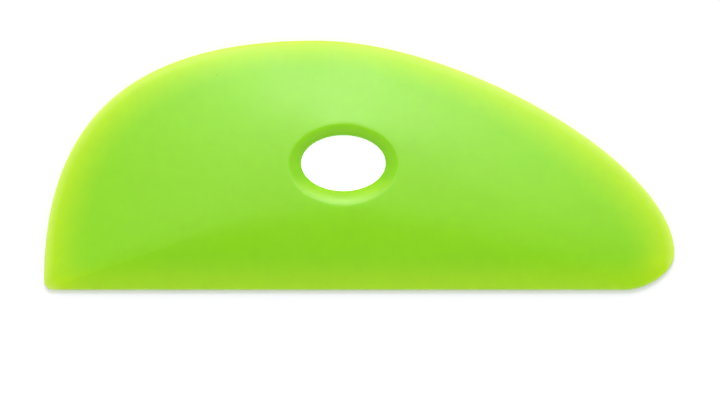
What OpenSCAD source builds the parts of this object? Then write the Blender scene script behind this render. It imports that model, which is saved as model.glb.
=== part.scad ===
// Pottery rib: a flexible hand scraper, cast in one piece, with an oval finger hole.
// It lies on its flat back. X runs along the straight edge from the heel to the nose,
// Y from the straight edge to the curved edge, and Z up out of the front face.
// The origin is on the back, in the middle of the outline's box.

/* [Outline] */
// Length along the straight edge, from the heel to the tip of the nose
rib_length = 127; // [118:0.5:138]
// Width from the straight edge to the crown of the curved edge
rib_width = 50.2; // [46:0.2:56]
// Distance of the crown from the heel end
crown_x = 54.7; // [50:0.1:60]
// Height of the tip of the nose above the straight edge
nose_height = 7.4; // [6.6:0.1:9]
// How far short of the nose tip the straight edge ends
nose_setback = 10.1; // [8.5:0.1:13]
// Radius of the corner between the straight edge and the heel
heel_r = 1.9; // [1.2:0.1:3]

/* [Curve of the edge] */
// Share of its height over which the heel rises straight before it turns
heel_rise = 0.73; // [0.6:0.01:0.8]
// Share of its length over which the heel curve runs level up to the crown
heel_level = 0.62; // [0.5:0.01:0.7]
// Share of its length over which the long curve runs level from the crown
shoulder_level = 0.41; // [0.3:0.01:0.5]
// Share of its height over which the long curve drops straight to the nose
shoulder_drop = 0.41; // [0.3:0.01:0.5]
// Share of its height over which the nose turns under from its tip
nose_turn = 0.51; // [0.4:0.01:0.6]
// Share of its length over which the nose runs level to the straight edge
nose_level = 0.46; // [0.35:0.01:0.55]

/* [Thickness] */
// Thickness of the rounded rim
rim_t = 1.5; // [1:0.1:2]
// Thickness at the lip of the finger hole
lip_t = 6.35; // [5.4:0.05:8]
// Width of the nearly level crest around the lip
crest_w = 0.8; // [0.4:0.1:5]
// How much the front bulges above straight slopes towards the heel, nose and straight edge
swell = 0.6; // [0:0.05:0.8]
// How much it bulges towards the crown
crown_swell = 0.25; // [0:0.05:0.8]

/* [Finger hole] */
// Distance of the hole's middle from the heel end
hole_x = 60.3; // [57:0.1:66]
// Height of the hole's middle above the straight edge
hole_y = 25.5; // [23.5:0.1:27.5]
// Length of the hole
hole_length = 17; // [14:0.1:20]
// Width of the hole
hole_width = 11.2; // [9:0.1:13]
// Width of the rounded lip around the hole
lip_w = 2.6; // [1.5:0.1:3.2]
// How deep the lip's rounding goes down into the hole
lip_depth = 1.6; // [1:0.1:4]
// How much nearer to the straight edge the lip lies than the hole does
lip_shift = 0.3; // [0:0.05:0.5]
// Rounding of the hole's edge on the back
back_r = 0.6; // [0.3:0.05:1]

/* [Hidden] */

// Steps along the straight edge, under the nose, over the shoulder, down the heel
// and round the heel corner
STEPS_BASE = 26;
STEPS_NOSE = 16;
STEPS_SHOULDER = 42;
STEPS_HEEL = 32;
STEPS_CORNER = 10;
// Rings round the hole's edge on the back, round the lip, across the crest and the
// slope, and over and under the rim
RINGS_BACK = 2;
RINGS_LIP = 6;
RINGS_CREST = 3;
RINGS_SLOPE = 7;
RINGS_OVER_RIM = 3;
RINGS_UNDER_RIM = 3;

// The rim is round from its outermost edge up to this angle, where the slope begins
RIM_END_ANGLE = 72;
// The lip's section: 2 is a plain quarter ellipse, less is nearer to a chamfer
LIP_SQUARENESS = 1.45;
// The straight edge is joined to the stretch of the lip that faces it: steadily within the
// first angle to either side, and then gathering within the second towards its two ends
BASE_SPREAD = 8;
END_SPREAD = 24;
END_GATHERING = 7;
// How far the rounded skin reaches below the back before it is cut off flat
BACK_CUT = 0.05;
// Depth and spare width of the block that cuts it
CUT_DEPTH = 2;
CUT_SPARE = 5;

RIB_COLOUR = "#92d92b";

hole_centre = [hole_x - rib_length / 2, hole_y - rib_width / 2];
hole_half = [hole_length / 2, hole_width / 2];
rim_r = rim_t / 2;

// Point on a cubic Bezier curve
function bezier(p, t) =
    p[0] * pow(1 - t, 3) + p[1] * 3 * t * pow(1 - t, 2) + p[2] * 3 * t * t * (1 - t)
    + p[3] * pow(t, 3);

// Angle that the outer side of a cubic Bezier curve faces, from X towards Y
function bezier_facing(p, t) =
    let (
        way = (p[1] - p[0]) * pow(1 - t, 2) + (p[2] - p[1]) * 2 * t * (1 - t)
            + (p[3] - p[2]) * t * t
    )
    atan2(-way[0], way[1]);

// The three curves of the edge, drawn in by inset: under the nose, over the shoulder and
// down the heel to a corner of this radius
function edge_curves(inset, corner_r) =
    let (
        left = inset - rib_length / 2,
        base = inset - rib_width / 2,
        base_end = [rib_length / 2 - nose_setback, base],
        tip = [rib_length / 2 - inset, nose_height - rib_width / 2],
        crown = [crown_x - rib_length / 2, rib_width / 2 - inset],
        heel = [left, base + corner_r]
    )
    [
        [
            base_end,
            base_end + [(tip[0] - base_end[0]) * nose_level, 0],
            tip - [0, (tip[1] - base) * nose_turn],
            tip
        ],
        [
            tip,
            tip + [0, (crown[1] - tip[1]) * shoulder_drop],
            crown + [(tip[0] - crown[0]) * shoulder_level, 0],
            crown
        ],
        [
            crown,
            crown - [(crown[0] - left) * heel_level, 0],
            heel + [0, (crown[1] - heel[1]) * heel_rise],
            heel
        ]
    ];

// Shares of the way along a stretch of this many steps, without its end
function shares(steps) = [for (i = [0 : steps - 1]) i / steps];

// The closed outline, drawn in by inset on every side, counterclockwise from the heel
function outline(inset, corner_r) =
    let (
        curves = edge_curves(inset, corner_r),
        corner = curves[2][3] + [corner_r, 0],
        base_start = corner - [0, corner_r],
        base_end = curves[0][0]
    )
    concat(
        [for (t = shares(STEPS_BASE)) base_start + (base_end - base_start) * t],
        [for (t = shares(STEPS_NOSE)) bezier(curves[0], t)],
        [for (t = shares(STEPS_SHOULDER)) bezier(curves[1], t)],
        [for (t = shares(STEPS_HEEL)) bezier(curves[2], t)],
        [for (t = shares(STEPS_CORNER))
            corner + corner_r * [cos(180 + 90 * t), sin(180 + 90 * t)]]
    );

// The point that faces at this angle on the hole's oval, grown by extra on every side and
// moved towards the straight edge by shift
function oval_point(facing, extra, shift) =
    let (
        half = hole_half + [extra, extra],
        way = [half[0] * cos(facing), half[1] * sin(facing)]
    )
    hole_centre - [0, shift] + [half[0] * way[0], half[1] * way[1]] / norm(way);

// The oval grown by extra and moved by shift, as a ring of points at one height
function oval_ring(extra, z, shift = 0) =
    [for (facing = facings) let (p = oval_point(facing, extra, shift)) [p[0], p[1], z]];

// The outline drawn in by inset, as a ring of points at one height
function outline_ring(inset, z) =
    [for (p = outline(inset, heel_r - inset)) [p[0], p[1], z]];

// How far the point of the lip turns aside for a point of the straight edge, from -1 at
// the heel to 1 at the nose
function base_turn(side) = BASE_SPREAD * side + END_SPREAD * pow(side, END_GATHERING);

// Each point of the outline is joined to the point of the lip that faces the same way, so
// the front is a smooth dome with soft ridges to the heel corner and the nose. These are
// the angles, with the stretches beside the straight edge squeezed to make room for it.
squeeze = 1 - base_turn(1) / 90;
rim_curves = edge_curves(0, heel_r);
facings = concat(
    [for (t = shares(STEPS_BASE)) -90 + base_turn(2 * t - 1)],
    [for (t = shares(STEPS_NOSE)) bezier_facing(rim_curves[0], t) * squeeze],
    [for (t = shares(STEPS_SHOULDER)) bezier_facing(rim_curves[1], t)],
    [for (t = shares(STEPS_HEEL)) bezier_facing(rim_curves[2], t)],
    [for (t = shares(STEPS_CORNER)) 180 + 90 * t * squeeze]
);

// The ring where the rim turns into the slope, and the lip's outer edge
rim_inset = rim_r * (1 - cos(RIM_END_ANGLE));
rim_top = rim_r * (1 + sin(RIM_END_ANGLE));
rim_ring = outline_ring(rim_inset, 0);
lip_line = oval_ring(lip_w, 0, lip_shift);

// Distance down the slope as it counts for the height: the crest eases in like a parabola
function eased(distance) =
    distance < crest_w ? distance * distance / (2 * crest_w) : distance - crest_w / 2;

// Height of the front at a distance from the lip, on a line as long as reach from the
// point of the lip that faces at this angle
function front_z(distance, reach, facing) =
    let (
        share = 1 - eased(distance) / eased(reach),
        bulge = swell + (crown_swell - swell) * pow(max(0, sin(facing)), 2)
    )
    rim_top + (lip_t - rim_top) * share * (1 + bulge * (1 - share));

// Ring over the front, at this share of the way across the crest and then the slope
function front_ring(crest_share, slope_share) =
    [for (i = [0 : len(lip_line) - 1])
        let (
            across = rim_ring[i] - lip_line[i],
            reach = norm(across),
            distance = crest_w * crest_share + (reach - crest_w) * slope_share,
            p = lip_line[i] + across * distance / reach
        )
        [p[0], p[1], front_z(distance, reach, facings[i])]];

// Ring round the lip: angle 90 is its outer edge on the front, 0 its foot in the hole
function lip_ring(angle) =
    let (
        power = 2 / LIP_SQUARENESS,
        share = 1 - pow(cos(angle), power),
        z = lip_t - lip_depth * (1 - pow(sin(angle), power))
    )
    oval_ring(lip_w * share, z, lip_shift * share);

// Ring round the hole's edge on the back: angle 0 is on its wall, 90 just below the back
function back_ring(angle) =
    oval_ring(back_r * (1 - cos(angle)), back_r - (back_r + BACK_CUT) * sin(angle));

// Ring over the rim: angle 0 is its outermost edge
function over_rim_ring(angle) =
    outline_ring(rim_r * (1 - cos(angle)), rim_r * (1 + sin(angle)));

// Ring under the rim: angle 0 is its outermost edge, 90 just below the back
function under_rim_ring(angle) =
    outline_ring(rim_r * (1 - cos(angle)), rim_r - (rim_r + BACK_CUT) * sin(angle));

// The rings in order: up the hole's wall, over the lip, out across the crest and down
// the slope, and round the rim to the back
function all_rings() = concat(
    [for (k = [0 : RINGS_BACK]) back_ring(90 * (1 - k / RINGS_BACK))],
    [for (k = [0 : RINGS_LIP]) lip_ring(90 * k / RINGS_LIP)],
    [for (k = [1 : RINGS_CREST]) front_ring(k / RINGS_CREST, 0)],
    [for (k = [1 : RINGS_SLOPE]) front_ring(1, k / RINGS_SLOPE)],
    [for (k = [1 : RINGS_OVER_RIM]) over_rim_ring(RIM_END_ANGLE * (1 - k / RINGS_OVER_RIM))],
    [for (k = [1 : RINGS_UNDER_RIM]) under_rim_ring(90 * k / RINGS_UNDER_RIM)]
);

// One closed skin through rings of equally many points, joined last to first
module skin(rings) {
    count = len(rings);
    around = len(rings[0]);
    points = [for (ring = rings, p = ring) p];
    faces = [
        for (k = [0 : count - 1], i = [0 : around - 1])
            let (
                a = k * around + i,
                b = k * around + (i + 1) % around,
                c = (k + 1) % count * around + (i + 1) % around,
                d = (k + 1) % count * around + i
            )
            each [[a, b, c], [a, c, d]]
    ];
    polyhedron(points = points, faces = faces, convexity = 6);
}

// The space below the back
module below_back() {
    cut = [rib_length + 2 * CUT_SPARE, rib_width + 2 * CUT_SPARE, CUT_DEPTH];
    translate([-cut[0] / 2, -cut[1] / 2, -CUT_DEPTH]) cube(cut);
}

// The whole tool: one casting of flexible rubber, with its back cut flat
module rib() {
    color(RIB_COLOUR)
    difference() {
        skin(all_rings());
        below_back();
    }
}

rib();
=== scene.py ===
import math

import bmesh
import bpy
import numpy as np
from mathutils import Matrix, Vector


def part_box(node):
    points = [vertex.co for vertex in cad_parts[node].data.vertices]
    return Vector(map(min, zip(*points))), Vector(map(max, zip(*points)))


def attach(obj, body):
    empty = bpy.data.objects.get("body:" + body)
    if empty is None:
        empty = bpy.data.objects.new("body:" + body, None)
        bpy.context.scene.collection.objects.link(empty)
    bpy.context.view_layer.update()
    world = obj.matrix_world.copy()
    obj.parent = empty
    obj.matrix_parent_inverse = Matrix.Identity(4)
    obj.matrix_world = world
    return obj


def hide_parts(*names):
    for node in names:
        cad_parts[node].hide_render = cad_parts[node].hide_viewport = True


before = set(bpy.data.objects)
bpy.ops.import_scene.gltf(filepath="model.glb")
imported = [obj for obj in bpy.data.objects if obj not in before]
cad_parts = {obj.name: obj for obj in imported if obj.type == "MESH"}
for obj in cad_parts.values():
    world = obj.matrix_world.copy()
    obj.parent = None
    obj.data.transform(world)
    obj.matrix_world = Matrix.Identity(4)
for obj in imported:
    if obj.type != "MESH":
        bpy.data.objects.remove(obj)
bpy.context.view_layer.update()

# Camera
# It looks straight down on the rib as it lies on its back, from far away through a long
# lens, so the rib keeps its plan shape. It stands a little towards the straight edge, which
# leaves a free strip below the rib.
MM = 0.001
VIEW_WIDTH = 145.14 * MM
VIEW_CENTRE = (0.15 * MM, -7.42 * MM)
CAMERA_HEIGHT = 1.2
SENSOR = 36.0
bpy.ops.object.camera_add(location=(*VIEW_CENTRE, CAMERA_HEIGHT), rotation=(0, 0, 0))
camera = bpy.context.object
camera.name = "camera_above"
camera.data.sensor_width = SENSOR
camera.data.lens = SENSOR * CAMERA_HEIGHT / VIEW_WIDTH
camera.data.clip_start = 0.05
camera.data.clip_end = 10
bpy.context.scene.camera = camera
bpy.context.scene.view_settings.view_transform = "Standard"

# Rib
# One casting of flexible urethane rubber, poured into an open mould: the domed front takes
# the mould's shape and the flat back is the top of the pour. It thins out to a rounded rim,
# and an oval finger hole with a soft lip goes through its thickest place.
rib_low, rib_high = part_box("rib")
LEFT, BASE = rib_low[0], rib_low[1]
RIGHT, TOP = rib_high[0], rib_high[1]
LIP_THICKNESS = rib_high[2]

# The outline: where its crown and nose stand, and how far its curves keep their direction
CROWN_X = LEFT + 54.7 * MM
NOSE_Y = BASE + 7.4 * MM
BASE_END_X = RIGHT - 10.1 * MM
HEEL_RADIUS = 1.9 * MM
HEEL_RISE = 0.73
HEEL_LEVEL = 0.62
SHOULDER_LEVEL = 0.41
SHOULDER_DROP = 0.41
NOSE_TURN = 0.51
NOSE_LEVEL = 0.46

# The section: a round rim, a slope that swells, a narrow crest, and the hole's lip
RIM_RADIUS = 0.75 * MM
RIM_END = math.radians(72)
CREST_WIDTH = 0.8 * MM
SWELL = 0.6
CROWN_SWELL = 0.25
HOLE_CENTRE = np.array([LEFT + 60.3 * MM, BASE + 25.5 * MM])
HOLE_HALF = np.array([17.0, 11.2]) * MM / 2
LIP_WIDTH = 2.6 * MM
LIP_DEPTH = 1.6 * MM
LIP_SHIFT = 0.3 * MM
LIP_POWER = 2 / 1.45
BACK_RADIUS = 0.6 * MM

STEPS_BASE = 90
STEPS_NOSE = 50
STEPS_SHOULDER = 120
STEPS_HEEL = 90
STEPS_CORNER = 40
QUARTER = math.pi / 2


def shares(steps):
    """Shares of the way along a stretch of this many steps, without its end."""
    return np.arange(steps) / steps


def edge_curves(inset, corner_radius):
    """The nose, shoulder and heel curves of the outline, drawn in by the inset."""
    left, base = LEFT + inset, BASE + inset
    base_end = np.array([BASE_END_X, base])
    tip = np.array([RIGHT - inset, NOSE_Y])
    crown = np.array([CROWN_X, TOP - inset])
    heel = np.array([left, base + corner_radius])
    nose = (
        base_end,
        base_end + [(tip[0] - base_end[0]) * NOSE_LEVEL, 0],
        tip - [0, (tip[1] - base) * NOSE_TURN],
        tip,
    )
    shoulder = (
        tip,
        tip + [0, (crown[1] - tip[1]) * SHOULDER_DROP],
        crown + [(tip[0] - crown[0]) * SHOULDER_LEVEL, 0],
        crown,
    )
    heel_curve = (
        crown,
        crown - [(crown[0] - left) * HEEL_LEVEL, 0],
        heel + [0, (crown[1] - heel[1]) * HEEL_RISE],
        heel,
    )
    return nose, shoulder, heel_curve


def bezier(curve, steps):
    """Points along a cubic curve, without its end."""
    a, b, c, d = curve
    t = shares(steps)[:, None]
    return a * (1 - t) ** 3 + b * 3 * t * (1 - t) ** 2 + c * 3 * t**2 * (1 - t) + d * t**3


def bezier_facing(curve, steps):
    """The angle at which each point of the curve faces outwards."""
    a, b, c, d = curve
    t = shares(steps)[:, None]
    way = (b - a) * (1 - t) ** 2 + (c - b) * 2 * t * (1 - t) + (d - c) * t**2
    return np.arctan2(-way[:, 0], way[:, 1])


def outline(inset):
    """The closed outline, drawn in by the inset, counterclockwise from the heel corner."""
    corner_radius = HEEL_RADIUS - inset
    nose, shoulder, heel = edge_curves(inset, corner_radius)
    corner = heel[3] + [corner_radius, 0]
    base_start = corner - [0, corner_radius]
    turn = math.pi + QUARTER * shares(STEPS_CORNER)
    return np.vstack(
        [
            base_start + (nose[0] - base_start) * shares(STEPS_BASE)[:, None],
            bezier(nose, STEPS_NOSE),
            bezier(shoulder, STEPS_SHOULDER),
            bezier(heel, STEPS_HEEL),
            corner + corner_radius * np.column_stack([np.cos(turn), np.sin(turn)]),
        ]
    )


# Each point of the outline is joined to the point of the lip that faces the same way, so
# the front is a smooth dome with soft ridges to the heel corner and the nose
BASE_SPREAD = math.radians(8)
END_SPREAD = math.radians(24)
END_GATHERING = 7
nose, shoulder, heel = edge_curves(0, HEEL_RADIUS)
side = 2 * shares(STEPS_BASE) - 1
squeeze = 1 - (BASE_SPREAD + END_SPREAD) / QUARTER
facing = np.concatenate(
    [
        -QUARTER + BASE_SPREAD * side + END_SPREAD * side**END_GATHERING,
        bezier_facing(nose, STEPS_NOSE) * squeeze,
        bezier_facing(shoulder, STEPS_SHOULDER),
        bezier_facing(heel, STEPS_HEEL),
        math.pi + QUARTER * squeeze * shares(STEPS_CORNER),
    ]
)


def oval(extra, shift=0.0):
    """The hole's oval, grown all round and moved towards the straight edge."""
    half = HOLE_HALF + extra
    way = half * np.column_stack([np.cos(facing), np.sin(facing)])
    middle = HOLE_CENTRE - [0, shift]
    return middle + half * way / np.linalg.norm(way, axis=1)[:, None]


def at_height(points, z):
    """A ring of points at one height, or each at its own."""
    return np.column_stack([points, np.broadcast_to(z, len(points))])


rim_line = outline(RIM_RADIUS * (1 - math.cos(RIM_END)))
rim_top = RIM_RADIUS * (1 + math.sin(RIM_END))
lip_line = oval(LIP_WIDTH, LIP_SHIFT)
reach = np.linalg.norm(rim_line - lip_line, axis=1)
bulge = SWELL + (CROWN_SWELL - SWELL) * np.maximum(0, np.sin(facing)) ** 2


def eased(distance):
    """Distance down the slope as it counts for the height: the crest eases in."""
    crest = distance**2 / (2 * CREST_WIDTH)
    return np.where(distance < CREST_WIDTH, crest, distance - CREST_WIDTH / 2)


def front_ring(crest_share, slope_share):
    """A ring over the front, at these shares of the way across the crest and the slope."""
    distance = CREST_WIDTH * crest_share + (reach - CREST_WIDTH) * slope_share
    share = 1 - eased(distance) / eased(reach)
    z = rim_top + (LIP_THICKNESS - rim_top) * share * (1 + bulge * (1 - share))
    return at_height(lip_line + (rim_line - lip_line) * (distance / reach)[:, None], z)


def lip_ring(angle):
    """A ring round the lip: 0 is its foot in the hole, a quarter turn its outer edge."""
    share = 1 - math.cos(angle) ** LIP_POWER
    z = LIP_THICKNESS - LIP_DEPTH * (1 - math.sin(angle) ** LIP_POWER)
    return at_height(oval(LIP_WIDTH * share, LIP_SHIFT * share), z)


def rim_ring(angle):
    """A ring round the rim: 0 is its outermost edge, more is over it, less is under it."""
    return at_height(outline(RIM_RADIUS * (1 - math.cos(angle))), RIM_RADIUS * (1 + math.sin(angle)))


def hole_foot_ring(angle):
    """A ring round the hole's edge on the back: 0 is on its wall, a quarter turn on the back."""
    return at_height(oval(BACK_RADIUS * (1 - math.cos(angle))), BACK_RADIUS * (1 - math.sin(angle)))


FOOT_RINGS = 5
LIP_RINGS = 18
CREST_RINGS = 8
SLOPE_RINGS = 26
RIM_RINGS = 16
BACK_RINGS = 18
RIM_TURN = (RIM_END + QUARTER) / RIM_RINGS
rings = [hole_foot_ring(QUARTER * k / FOOT_RINGS) for k in range(FOOT_RINGS, -1, -1)]
rings += [lip_ring(QUARTER * k / LIP_RINGS) for k in range(LIP_RINGS)]
rings += [at_height(lip_line, LIP_THICKNESS)]
rings += [front_ring(k / CREST_RINGS, 0) for k in range(1, CREST_RINGS + 1)]
rings += [front_ring(1, k / SLOPE_RINGS) for k in range(1, SLOPE_RINGS + 1)]
rings += [rim_ring(RIM_END - RIM_TURN * k) for k in range(1, RIM_RINGS + 1)]
outer, inner = rings[-1], rings[0]
rings += [outer + (inner - outer) * k / BACK_RINGS for k in range(1, BACK_RINGS + 1)]

# How far each point lies from the shaded edge, which is the straight one and most of the
# nose's underside, from the lit edge, which is the rest of the outline, and from the hole
SHADED_NOSE = 0.84
LIT_FROM = STEPS_BASE + round(SHADED_NOSE * STEPS_NOSE)
EDGES = {
    "from_shaded_edge": outline(0)[:LIT_FROM],
    "from_lit_edge": outline(0)[LIT_FROM:],
    "from_hole": oval(0),
}


def away_from(line, ring):
    """How far each point of the ring lies from the line, seen from above."""
    return np.array([np.linalg.norm(line - point[:2], axis=1).min() for point in ring])


# The skin: the hole's foot, then out over the front, round the rim and in over the back,
# each ring pulled out of the one before it and the last one joined to the first
bpy.ops.object.select_all(action="DESELECT")
bpy.ops.mesh.primitive_circle_add(vertices=len(facing), radius=HOLE_HALF[0])
rib = bpy.context.object
rib.name = "rib_casting"
bpy.ops.object.mode_set(mode="EDIT")
mesh = bmesh.from_edit_mesh(rib.data)
place = mesh.verts.layers.int.new("place")
for name in EDGES:
    mesh.verts.layers.float.new(name)
for number, vertex in enumerate(mesh.verts):
    vertex[place] = number
bmesh.update_edit_mesh(rib.data)
for step, ring in enumerate(rings):
    if step > 0:
        bpy.ops.mesh.extrude_edges_indiv()
    distances = {name: away_from(line, ring) for name, line in EDGES.items()}
    mesh = bmesh.from_edit_mesh(rib.data)
    place = mesh.verts.layers.int["place"]
    for vertex in mesh.verts:
        if vertex.select:
            vertex.co = ring[vertex[place]]
            for name in EDGES:
                vertex[mesh.verts.layers.float[name]] = distances[name][vertex[place]]
    bmesh.update_edit_mesh(rib.data)
bpy.ops.mesh.select_all(action="SELECT")
bpy.ops.mesh.remove_doubles(threshold=1e-7)
bpy.ops.mesh.normals_make_consistent(inside=False)
bpy.ops.object.mode_set(mode="OBJECT")
bpy.ops.object.shade_smooth()


class Wire:
    """An output of a shader node, so that shader sums read as sums."""

    def __init__(self, tree, socket=None):
        self.tree = tree
        self.socket = socket

    def node(self, kind, settings, inputs, output=0):
        """Adds a node with its settings, values and links, and gives one of its outputs."""
        made = self.tree.nodes.new(kind)
        for name, value in settings.items():
            setattr(made, name, value)
        for name, value in inputs.items():
            if isinstance(value, Wire):
                self.tree.links.new(value.socket, made.inputs[name])
            else:
                made.inputs[name].default_value = value
        if not made.outputs:
            return None
        return Wire(self.tree, made.outputs[output])

    def other(self, output):
        return Wire(self.tree, self.socket.node.outputs[output])

    def attribute(self, name):
        return self.node("ShaderNodeAttribute", {"attribute_name": name}, {}, "Fac")

    def maths(self, operation, *values):
        return self.node("ShaderNodeMath", {"operation": operation}, dict(enumerate(values)))

    def __add__(self, other):
        return self.maths("ADD", self, other)

    def __radd__(self, other):
        return self.maths("ADD", other, self)

    def __sub__(self, other):
        return self.maths("SUBTRACT", self, other)

    def __rsub__(self, other):
        return self.maths("SUBTRACT", other, self)

    def __mul__(self, other):
        return self.maths("MULTIPLY", self, other)

    def __rmul__(self, other):
        return self.maths("MULTIPLY", other, self)

    def __truediv__(self, other):
        return self.maths("DIVIDE", self, other)

    def __pow__(self, other):
        return self.maths("POWER", self, other)

    def __abs__(self):
        return self.maths("ABSOLUTE", self)

    def minimum(self, other):
        return self.maths("MINIMUM", self, other)

    def between(self, start, end, first=0.0, last=1.0):
        """Runs smoothly from the first value, up to the start, to the last, from the end on."""
        limits = {"From Min": start, "From Max": end, "To Min": first, "To Max": last}
        settings = {"interpolation_type": "SMOOTHSTEP"}
        return self.node("ShaderNodeMapRange", settings, {"Value": self, **limits})

    def noise(self, size, detail=2.0):
        """Soft noise about 0 at this place, with blots of about the given size."""
        inputs = {"Vector": self, "Scale": 1 / size, "Detail": detail}
        return self.node("ShaderNodeTexNoise", {}, inputs, "Fac") - 0.5

    def dots(self, apart, radius):
        """1 inside scattered dots about this far apart, 0 outside them."""
        inputs = {"Vector": self, "Scale": 1 / apart, "Randomness": 1.0}
        centre = self.node("ShaderNodeTexVoronoi", {}, inputs, "Distance")
        return centre.between(0.4 * radius / apart, radius / apart, 1.0, 0.0)

    def mixed(self, first, second):
        """Mixes two colours, with this as the second one's share."""
        return self.node("ShaderNodeMix", {"data_type": "RGBA"}, {0: self, 6: first, 7: second}, 2)


def new_material(name):
    material = bpy.data.materials.new(name)
    material.use_nodes = True
    material.node_tree.nodes.clear()
    return material, Wire(material.node_tree)


rubber, start = new_material("green_urethane")
point = start.node("ShaderNodeTexCoord", {}, {}, "Object")
across = start.node("ShaderNodeSeparateXYZ", {}, {"Vector": point}, "X")
apart = across.other("Y")
up = across.other("Z")

# The base colour carries painted light. The rubber lets light through where it is thin, and
# that glow is painted in: yellower in a band along the lit curved edge, narrowest at the
# crown, where the rib thickens fastest, and palest at the very rim, as a painted highlight,
# and darker in a band along the shaded edge, where less light comes through. Thinner rubber
# is a little yellower in itself, but the glow and the difference between the lit and the
# shaded edge are painted light. Inside the lip of the hole, painted shade darkens the side
# away from the light, and painted light makes the side where the light falls yellower.
BODY = (0.261, 0.659, 0.001, 1)
LIT_EDGE = (0.52, 0.79, 0.001, 1)
PAINTED_RIM_GLOW = (0.59, 0.835, 0.14, 1)
SHADED_EDGE = (0.37, 0.7, 0.001, 1)
BAND_AT_HEEL = 9.2 * MM
BAND_AT_CROWN = 5.8 * MM
BAND_AT_NOSE = 9.8 * MM
BAND_AT_RIM = 2.2 * MM
BAND_AT_SHADE = 7.0 * MM
BAND_FADE = 1.5
LIT_GLOW_AT_BASE = 0.8
BASE_REACH = 7 * MM
RIM_GLOW_STRENGTH = 0.7
RIM_GLOW_AT_CROWN = 0.3
CROWN_REACH = 36 * MM
LIT_LIP_GLOW = 0.28
LIT_LIP_GLOW_BAND = (1.4 * MM, 3.3 * MM)
LIP_PAINTED_SHADE = 0.05
LIP_PAINTED_SHADE_BAND = (1.4 * MM, 2.8 * MM)
LIP_TURNS_LIT = (HOLE_CENTRE[1] - 2 * MM, HOLE_CENTRE[1] - 6 * MM)
from_shaded_edge = start.attribute("from_shaded_edge")
from_lit_edge = start.attribute("from_lit_edge")
from_hole = start.attribute("from_hole")
to_heel = across.between(CROWN_X, LEFT, 0.0, BAND_AT_HEEL - BAND_AT_CROWN)
to_nose = across.between(CROWN_X, RIGHT, 0.0, BAND_AT_NOSE - BAND_AT_CROWN)
lit_band = from_lit_edge / (BAND_AT_CROWN + to_heel + to_nose)
# Painted light: the glow is weaker near the straight edge, on the shaded side
at_base = apart.between(BASE, BASE + BASE_REACH, LIT_GLOW_AT_BASE, 1.0)
at_crown = abs(across - CROWN_X).between(0, CROWN_REACH, RIM_GLOW_AT_CROWN, 1.0)
lit_share = (1 - lit_band.minimum(1.0)) ** BAND_FADE * at_base
# Painted highlight: the very rim is paler, least so at the crown
painted_rim_share = from_lit_edge.between(0.0, BAND_AT_RIM, RIM_GLOW_STRENGTH, 0.0) * at_base * at_crown
shaded_share = from_shaded_edge.between(0.0, BAND_AT_SHADE, 1.0, 0.0)
shaded = shaded_share.mixed(BODY, SHADED_EDGE)
edges_with_painted_glow = painted_rim_share.mixed(lit_share.mixed(shaded, LIT_EDGE), PAINTED_RIM_GLOW)
# Painted light and shade in the lip: yellower on the side towards the straight edge, whose wall
# faces the light, and darker on the side away from it
lip_lit = apart.between(*LIP_TURNS_LIT)
painted_lip_light = from_hole.between(*LIT_LIP_GLOW_BAND, LIT_LIP_GLOW, 0.0) * lip_lit
painted_lip_shade = from_hole.between(*LIP_PAINTED_SHADE_BAND, LIP_PAINTED_SHADE, 0.0) * (1 - lip_lit)
colour_with_painted_light = painted_lip_light.mixed(edges_with_painted_glow, LIT_EDGE)

# The pigment isn't quite even: faint clouds and a finer mottle, with a few dark specks
CLOUD, CLOUD_SIZE = 0.06, 26 * MM
MOTTLE, MOTTLE_SIZE = 0.07, 2.4 * MM
SPECK, SPECK_SPACING, SPECK_RADIUS = 0.2, 11 * MM, 0.25 * MM
specks = SPECK * point.dots(SPECK_SPACING, SPECK_RADIUS)
clouds = CLOUD * point.noise(CLOUD_SIZE) + MOTTLE * point.noise(MOTTLE_SIZE)
# The pigment's clouds and specks, and the painted shade inside the lip, scale the colour
shade = 1 + clouds - specks - painted_lip_shade
scaled = {0: colour_with_painted_light, "Scale": shade}
colour = start.node("ShaderNodeVectorMath", {"operation": "SCALE"}, scaled)

# The mould's fine grain and slight waves, faint slanting scuffs from use, and on the back,
# the open side of the mould, pinholes left by air bubbles
GRAIN, GRAIN_SIZE = 0.007 * MM, 0.38 * MM
WAVE, WAVE_SIZE = 0.016 * MM, 3.2 * MM
SCUFF_DEPTH, SCUFF_SIZE = 0.002 * MM, 24 * MM
SCUFF_SLANT = math.radians(-32)
SCUFF_SLIMNESS = 14
SCUFF_DETAIL = 4.0
SCUFF_LEVELS = (0.12, 0.2)
BACK_ENDS = (0.1 * MM, 0.4 * MM)
PINHOLE_DEPTH, PINHOLE_SPACING, PINHOLE_RADIUS = 0.06 * MM, 4.2 * MM, 0.3 * MM
slant = {"Rotation": (0, 0, SCUFF_SLANT), "Scale": (1, SCUFF_SLIMNESS, 1)}
slanting = start.node("ShaderNodeMapping", {}, {"Vector": point, **slant})
scuffs = slanting.noise(SCUFF_SIZE, SCUFF_DETAIL).between(*SCUFF_LEVELS)
back = up.between(*BACK_ENDS, 1.0, 0.0)
pinholes = point.dots(PINHOLE_SPACING, PINHOLE_RADIUS) * back
waves = GRAIN * point.noise(GRAIN_SIZE) + WAVE * point.noise(WAVE_SIZE)
relief = waves - SCUFF_DEPTH * scuffs - PINHOLE_DEPTH * pinholes
bump = start.node("ShaderNodeBump", {}, {"Height": relief, "Distance": 1.0})

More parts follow.
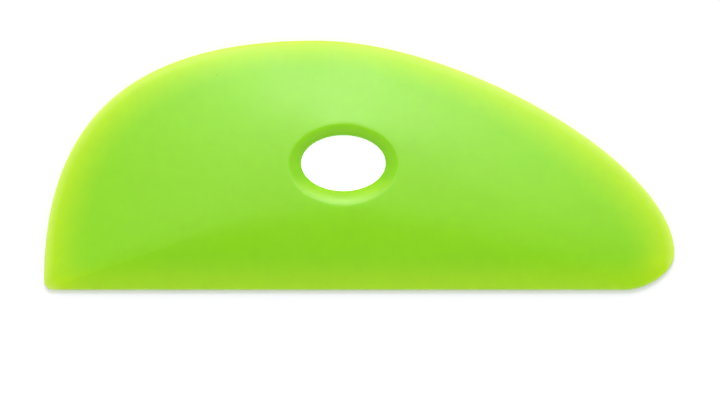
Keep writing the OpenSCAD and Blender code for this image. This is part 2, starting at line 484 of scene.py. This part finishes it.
# Satin, a little smeared all over, and duller where it is scuffed and on the back
ROUGHNESS = 0.43
SMEAR, SMEAR_SIZE, FINE_SMEAR_SIZE = 0.1, 9 * MM, 0.7 * MM
SCUFF_DULLS = 0.03
BACK_DULLS = 0.06
smears = SMEAR * point.noise(SMEAR_SIZE) + SMEAR * point.noise(FINE_SMEAR_SIZE)
roughness = ROUGHNESS + smears + SCUFF_DULLS * scuffs + BACK_DULLS * back
surface = start.node(
    "ShaderNodeBsdfPrincipled",
    {},
    {
        "Base Color": colour,
        "Roughness": roughness,
        "Normal": bump,
        "Specular IOR Level": 0.47,
        "Subsurface Weight": 0.5,
        "Subsurface Scale": 3 * MM,
        "Subsurface Radius": (1.0, 0.8, 0.3),
    },
)
start.node("ShaderNodeOutputMaterial", {}, {"Surface": surface})
rib.data.materials.append(rubber)
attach(rib, "root")
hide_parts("rib")

# Floor
# A plain white sheet of paper, larger than any view takes in. It glows a little to the
# camera, and further out, where the soft boxes fade. Under the finger hole it glows more:
# painted light that takes away the shadow the rib would cast there.
FLOOR_SIZE = 40
FLOOR_DROP = 0.05 * MM
PAPER = (0.905, 0.892, 0.945, 1)
FLOOR_GLOW = 0.06
FAR_GLOW = 0.6
FAR_STARTS = 0.04
FAR_ENDS = 0.3
# Painted light under the finger hole, over the rib's shadow
HOLE_GLOW = 0.75
HOLE_GLOW_ENDS = 1.3
bpy.ops.object.select_all(action="DESELECT")
bpy.ops.mesh.primitive_plane_add(size=FLOOR_SIZE, location=(0, 0, -FLOOR_DROP))
floor = bpy.context.object
floor.name = "paper_floor"
paper, start = new_material("white_paper")
point = start.node("ShaderNodeTexCoord", {}, {}, "Object")
to_hole = {"Location": (*(-HOLE_CENTRE / HOLE_HALF), 0), "Scale": (*(1 / HOLE_HALF), 1)}
hole_place = start.node("ShaderNodeMapping", {}, {"Vector": point, **to_hole})
radii = start.node("ShaderNodeVectorMath", {"operation": "LENGTH"}, {0: hole_place}, "Value")
camera_ray = start.node("ShaderNodeLightPath", {}, {}, "Is Camera Ray")
seen = camera_ray + camera_ray.other("Is Glossy Ray") + camera_ray.other("Is Transmission Ray")
from_middle = start.node("ShaderNodeVectorMath", {"operation": "LENGTH"}, {0: point}, "Value")
far = from_middle.between(FAR_STARTS, FAR_ENDS)
level = FLOOR_GLOW + FAR_GLOW * far + HOLE_GLOW * radii.between(1.0, HOLE_GLOW_ENDS, 1.0, 0.0)
diffuse = start.node("ShaderNodeBsdfDiffuse", {}, {"Color": PAPER})
glow = start.node("ShaderNodeEmission", {}, {"Strength": seen * level})
both = start.node("ShaderNodeAddShader", {}, {0: diffuse, 1: glow})
start.node("ShaderNodeOutputMaterial", {}, {"Surface": both})
floor.data.materials.append(paper)

# Lights
# A soft box stands beyond the curved edge, with a second one above it and a little aside
# that only adds to the sheen. A wide one hangs overhead, and a weak one in front of the
# straight edge, which gives no sheen. A level of 1 lights the floor fully.
KEY_LEVEL = 0.338
SHEEN_LEVEL = 0.255
KEY_ELEVATION = math.radians(54)
SHEEN_ELEVATION = math.radians(60)
SHEEN_ASIDE = math.radians(10)
KEY_DISTANCE = 0.6
KEY_SIZE = 0.2
TOP_LEVEL = 0.24
TOP_ELEVATION = math.radians(80)
TOP_DISTANCE = 2.0
TOP_SIZE = 0.6
FRONT_LEVEL = 0.04
FRONT_ELEVATION = math.radians(75)
FRONT_DISTANCE = 2.0
FRONT_SIZE = 0.6


def soft_box(name, aside, elevation, distance, size, level):
    """A square lamp that faces the rib, turned aside from the way to the curved edge."""
    bpy.ops.object.select_all(action="DESELECT")
    level_way = Vector((math.sin(aside), math.cos(aside), 0)) * math.cos(elevation)
    way = level_way + Vector((0, 0, math.sin(elevation)))
    bpy.ops.object.light_add(type="AREA", location=way * distance)
    lamp = bpy.context.object
    lamp.name = name
    lamp.rotation_euler = way.to_track_quat("Z", "Y").to_euler()
    lamp.data.size = size
    lamp.data.energy = level * math.pi**2 * distance**2 / math.sin(elevation)
    return lamp


soft_box("soft_box_behind", 0, KEY_ELEVATION, KEY_DISTANCE, KEY_SIZE, KEY_LEVEL)
sheen_place = (SHEEN_ASIDE, SHEEN_ELEVATION, KEY_DISTANCE)
sheen_box = soft_box("soft_box_sheen", *sheen_place, KEY_SIZE, SHEEN_LEVEL)
sheen_box.visible_diffuse = False
soft_box("soft_box_above", 0, TOP_ELEVATION, TOP_DISTANCE, TOP_SIZE, TOP_LEVEL)
front_place = (math.pi, FRONT_ELEVATION, FRONT_DISTANCE)
front_box = soft_box("soft_box_front", *front_place, FRONT_SIZE, FRONT_LEVEL)
front_box.visible_glossy = False

# Room
# A bright white sweep stands round the rib up to about 45 degrees, under a dim ceiling, and
# the camera sees plain white all over.
SWEEP = 1.58
CEILING = 0.05
SWEEP_FADES = 0.5
SWEEP_ENDS = 0.75
world = bpy.data.worlds.new("pale_room")
bpy.context.scene.world = world
world.use_nodes = True
world.node_tree.nodes.clear()
start = Wire(world.node_tree)
direction = start.node("ShaderNodeTexCoord", {}, {}, "Generated")
height = start.node("ShaderNodeSeparateXYZ", {}, {"Vector": direction}, "Z")
sweep = height.between(SWEEP_FADES, SWEEP_ENDS, 1.0, 0.0)
camera_ray = start.node("ShaderNodeLightPath", {}, {}, "Is Camera Ray")
mirrored = camera_ray.other("Is Glossy Ray") + camera_ray.other("Is Transmission Ray")
room = CEILING + (SWEEP - CEILING) * sweep
white_share = camera_ray + mirrored * sweep
strength = room + white_share * (1 - room)
background = start.node("ShaderNodeBackground", {}, {"Strength": strength})
start.node("ShaderNodeOutputWorld", {}, {"Surface": background})
